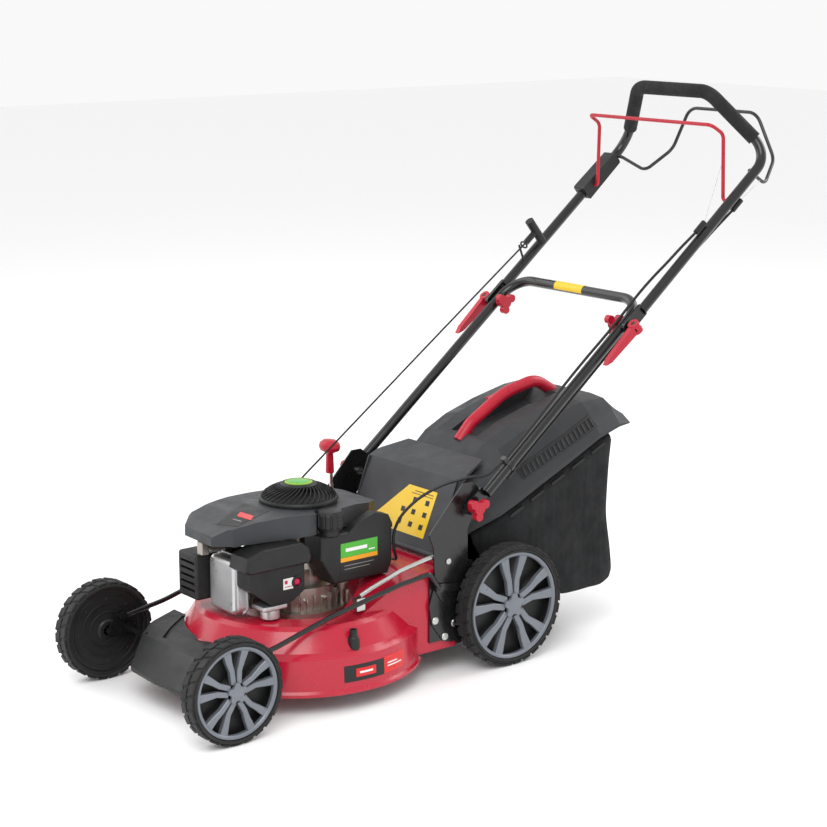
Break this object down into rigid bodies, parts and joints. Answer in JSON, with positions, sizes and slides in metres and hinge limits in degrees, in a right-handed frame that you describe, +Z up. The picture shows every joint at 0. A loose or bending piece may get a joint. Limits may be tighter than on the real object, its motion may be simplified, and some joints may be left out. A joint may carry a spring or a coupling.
{
  "type": "rotary lawn mower",
  "caption": "Walk-behind petrol rotary lawn mower with round steel deck, rear grass catcher, folding tubular handle and control bails.",
  "frame": {"origin": "bottom centre of the bounding box, on the ground", "axes": "+X to the operator's left, +Y back to the handle, +Z up"},
  "size_m": [0.51, 1.6207, 1.1525],
  "materials": {
    "deck_red": "gloss powder coat",
    "black_metal": "satin powder coat",
    "black_plastic": "moulded, light grain",
    "shroud_grey": "moulded, light grain",
    "wheel_grey": "painted moulding",
    "tyre_black": "moulded tread",
    "steel": "zinc plated",
    "silver": "pressed",
    "cast_alloy": "as cast",
    "red_plastic": "moulded",
    "red_wire": "plastic coated",
    "foam": "closed-cell foam",
    "bag_fabric": "coarse weave",
    "rope_black": "braided",
    "cable_black": "sheathed"
  },
  "bodies": {
    "chassis": {"deck_shell": "deck_red", "front_cowl": "black_plastic", "side_bracket_left": "black_metal", "side_bracket_right": "black_metal", "discharge_chute": "black_plastic", "wash_port": "black_plastic", "deck_bolts": "steel", "brace_rod": "steel", "crankcase": "cast_alloy", "cylinder": "cast_alloy", "rocker_cover": "silver", "engine_shroud": "shroud_grey", "recoil_grille": "black_plastic", "fuel_tank": "black_plastic", "air_filter": "black_plastic", "carburettor": "silver", "muffler": "black_metal", "flap_pin": "steel", "starter_rope": "rope_black"},
    "crank_train": {"crankshaft": "steel", "flywheel": "cast_alloy", "cutting_blade": "steel"},
    "fuel_cap": {"fuel_cap": "black_plastic"},
    "primer": {"primer_bulb": "red_plastic"},
    "front_axle": {"front_axle": "black_metal"},
    "rear_axle": {"rear_axle": "black_metal"},
    "link_left": {"link_rod_left": "black_metal"},
    "link_right": {"link_rod_right": "black_metal"},
    "height_crank": {"height_crank": "black_metal"},
    "height_lever": {"height_lever": "steel"},
    "flap": {"rear_flap": "shroud_grey"},
    "catcher": {"catcher_cover": "shroud_grey", "catcher_bag": "bag_fabric", "catcher_handle": "red_plastic"},
    "level_indicator": {"level_indicator": "red_plastic"},
    "lower_handle": {"lower_handle": "black_metal", "cable_clip": "steel", "brake_cable": "cable_black", "drive_cable": "cable_black"},
    "upper_handle": {"upper_handle": "black_metal", "foam_grip": "foam", "handle_fittings": "black_plastic", "control_wires": "steel"},
    "operator_bail": {"operator_bail": "red_wire"},
    "drive_bail": {"drive_bail": "black_metal"},
    "starter_grip": {"starter_grip": "black_plastic"},
    "cam_lever_left": {"cam_lever_left": "red_plastic"},
    "bracket_knob_left": {"bracket_knob_left": "red_plastic"},
    "joint_knob_left": {"joint_knob_left": "red_plastic"},
    "cam_lever_right": {"cam_lever_right": "red_plastic"},
    "bracket_knob_right": {"bracket_knob_right": "red_plastic"},
    "joint_knob_right": {"joint_knob_right": "red_plastic"},
    "wheel_front_left": {"tyre_front_left": "tyre_black", "wheel_front_left": "wheel_grey"},
    "wheel_front_right": {"tyre_front_right": "tyre_black", "wheel_front_right": "wheel_grey"},
    "wheel_rear_left": {"tyre_rear_left": "tyre_black", "wheel_rear_left": "wheel_grey"},
    "wheel_rear_right": {"tyre_rear_right": "tyre_black", "wheel_rear_right": "wheel_grey"}
  },
  "joints": [
    {"name": "rear_axle_tilt", "type": "hinge", "parent": "chassis", "child": "rear_axle", "pos_m": [0, 0.0335, 0.121], "axis": [1, 0, 0], "range_deg": [-25, 25]},
    {"name": "front_axle_tilt", "type": "hinge", "parent": "chassis", "child": "front_axle", "pos_m": [0, -0.6595, 0.095], "axis": [1, 0, 0], "range_deg": [-25, 25]},
    {"name": "height_crank_tilt", "type": "hinge", "parent": "chassis", "child": "height_crank", "pos_m": [0, -0.158, 0.15], "axis": [1, 0, 0], "range_deg": [-25, 25]},
    {"name": "height_lever_tilt", "type": "hinge", "parent": "chassis", "child": "height_lever", "pos_m": [0, -0.158, 0.15], "axis": [1, 0, 0], "range_deg": [-25, 25]},
    {"name": "link_left_swing", "type": "hinge", "parent": "rear_axle", "child": "link_left", "pos_m": [0, 0.0075, 0.158], "axis": [1, 0, 0], "range_deg": [-25, 25]},
    {"name": "link_right_swing", "type": "hinge", "parent": "rear_axle", "child": "link_right", "pos_m": [0, 0.0075, 0.158], "axis": [1, 0, 0], "range_deg": [-25, 25]},
    {"name": "front_left_roll", "type": "hinge", "parent": "front_axle", "child": "wheel_front_left", "pos_m": [0, -0.709, 0.101], "axis": [1, 0, 0], "continuous": true},
    {"name": "front_right_roll", "type": "hinge", "parent": "front_axle", "child": "wheel_front_right", "pos_m": [0, -0.709, 0.101], "axis": [1, 0, 0], "continuous": true},
    {"name": "rear_left_roll", "type": "hinge", "parent": "rear_axle", "child": "wheel_rear_left", "pos_m": [0, -0.016, 0.127], "axis": [1, 0, 0], "continuous": true},
    {"name": "rear_right_roll", "type": "hinge", "parent": "rear_axle", "child": "wheel_rear_right", "pos_m": [0, -0.016, 0.127], "axis": [1, 0, 0], "continuous": true},
    {"name": "crank_spin", "type": "hinge", "parent": "chassis", "child": "crank_train", "pos_m": [0, -0.394, 0], "axis": [0, 0, 1], "continuous": true},
    {"name": "lower_handle_fold", "type": "hinge", "parent": "chassis", "child": "lower_handle", "pos_m": [0, -0.0994, 0.343], "axis": [1, 0, 0], "range_deg": [0, 125], "deforming": ["brake_cable", "drive_cable", "starter_rope"]},
    {"name": "upper_handle_fold", "type": "hinge", "parent": "lower_handle", "child": "upper_handle", "pos_m": [0, 0.30606, 0.67017], "axis": [-1, 0, 0], "range_deg": [-150, 0]},
    {"name": "operator_bail_pull", "type": "hinge", "parent": "upper_handle", "child": "operator_bail", "pos_m": [0, 0.604, 0.9095], "axis": [1, 0, 0], "range_deg": [-30, 0], "stiffness_Nm_per_rad": 2, "springref_deg": 20.05, "deforming": ["control_wires"]},
    {"name": "drive_bail_pull", "type": "hinge", "parent": "upper_handle", "child": "drive_bail", "pos_m": [0, 0.68, 0.9705], "axis": [1, 0, 0], "range_deg": [0, 48], "stiffness_Nm_per_rad": 2, "springref_deg": -28.65},
    {"name": "starter_pull", "type": "slide", "parent": "upper_handle", "child": "starter_grip", "axis": [0.3494, 0.7287, 0.589], "range_m": [0, 0.4], "stiffness_N_per_m": 30, "springref_m": -0.4},
    {"name": "flap_lift", "type": "hinge", "parent": "chassis", "child": "flap", "pos_m": [0, -0.156, 0.237], "axis": [1, 0, 0], "range_deg": [0, 30], "stiffness_Nm_per_rad": 1, "springref_deg": -45.84},
    {"name": "catcher_lift_off", "type": "slide", "parent": "chassis", "child": "catcher", "axis": [0, 0.9659, 0.2588], "range_m": [0, 0.3]},
    {"name": "level_flag_rise", "type": "hinge", "parent": "catcher", "child": "level_indicator", "pos_m": [-0.047, 0.154, 0.491], "axis": [1, 0, 0], "range_deg": [0, 35]},
    {"name": "fuel_cap_turn", "type": "hinge", "parent": "chassis", "child": "fuel_cap", "pos_m": [0.108, -0.391, 0.34], "axis": [0, 0, 1], "range_deg": [0, 90]},
    {"name": "primer_press", "type": "slide", "parent": "chassis", "child": "primer", "axis": [-1, 0, 0], "range_m": [0, 0.003], "stiffness_N_per_m": 400},
    {"name": "cam_lever_left_open", "type": "hinge", "parent": "upper_handle", "child": "cam_lever_left", "pos_m": [0.238, 0.30606, 0.67017], "axis": [0, -0.628, 0.7782], "range_deg": [0, 110]},
    {"name": "bracket_knob_left_turn", "type": "hinge", "parent": "chassis", "child": "bracket_knob_left", "pos_m": [0, -0.0994, 0.343], "axis": [1, 0, 0], "continuous": true},
    {"name": "joint_knob_left_turn", "type": "hinge", "parent": "upper_handle", "child": "joint_knob_left", "pos_m": [0, 0.30606, 0.67017], "axis": [1, 0, 0], "continuous": true},
    {"name": "cam_lever_right_open", "type": "hinge", "parent": "upper_handle", "child": "cam_lever_right", "pos_m": [-0.238, 0.30606, 0.67017], "axis": [0, 0.628, -0.7782], "range_deg": [0, 110]},
    {"name": "bracket_knob_right_turn", "type": "hinge", "parent": "chassis", "child": "bracket_knob_right", "pos_m": [0, -0.0994, 0.343], "axis": [1, 0, 0], "continuous": true},
    {"name": "joint_knob_right_turn", "type": "hinge", "parent": "upper_handle", "child": "joint_knob_right", "pos_m": [0, 0.30606, 0.67017], "axis": [1, 0, 0], "continuous": true}
  ],
  "couplings": [
    {"joint": "front_axle_tilt", "follows": "rear_axle_tilt", "ratio": 1},
    {"joint": "height_crank_tilt", "follows": "rear_axle_tilt", "ratio": 1},
    {"joint": "height_lever_tilt", "follows": "rear_axle_tilt", "ratio": 1},
    {"joint": "link_left_swing", "follows": "rear_axle_tilt", "ratio": -1},
    {"joint": "link_right_swing", "follows": "rear_axle_tilt", "ratio": -1}
  ]
}
